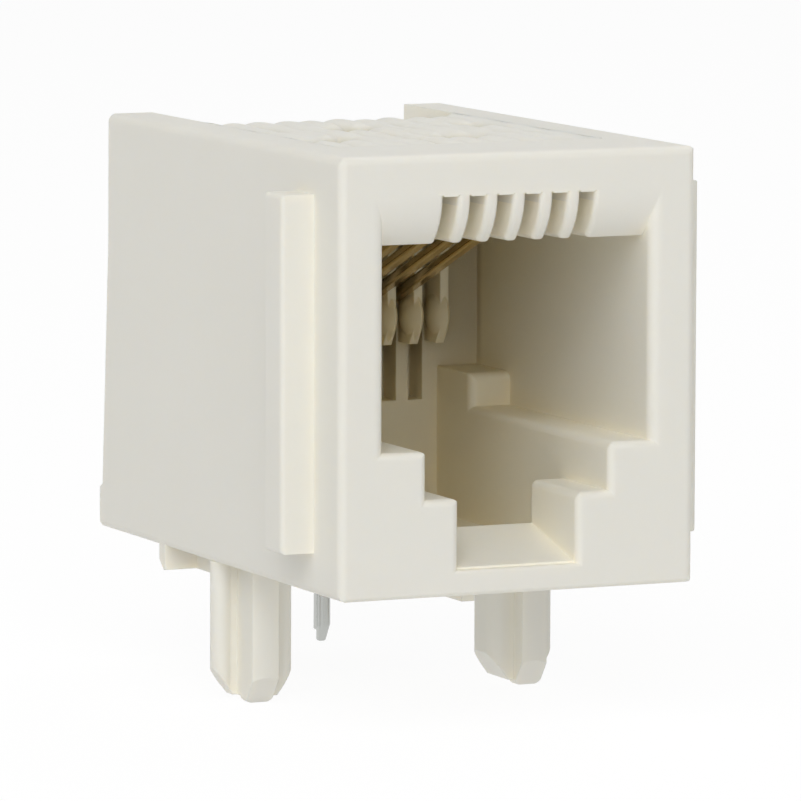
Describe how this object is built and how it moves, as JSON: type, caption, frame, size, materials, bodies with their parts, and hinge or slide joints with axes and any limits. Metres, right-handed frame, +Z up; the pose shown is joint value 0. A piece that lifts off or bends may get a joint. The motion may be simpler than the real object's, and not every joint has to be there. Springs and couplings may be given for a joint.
{
  "type": "modular jack",
  "caption": "Side-entry modular jack for a circuit board: ivory housing with a stepped plug opening, combed lip, side ribs, fluted board posts and gold contacts with staggered solder tails.",
  "frame": {"origin": "midway between the two board posts, on the board surface under the feet", "axes": "+X to the right of the opening, +Y the way the plug goes in, +Z up from the board"},
  "size_m": [0.0156, 0.0211, 0.0199],
  "materials": {
    "housing": "satin ivory moulding",
    "contact": "gold-plated spring strip with tinned tails"
  },
  "bodies": {
    "root": {"housing": "housing", "contact_2": "contact", "contact_3": "contact", "contact_4": "contact", "contact_5": "contact"}
  },
  "joints": []
}
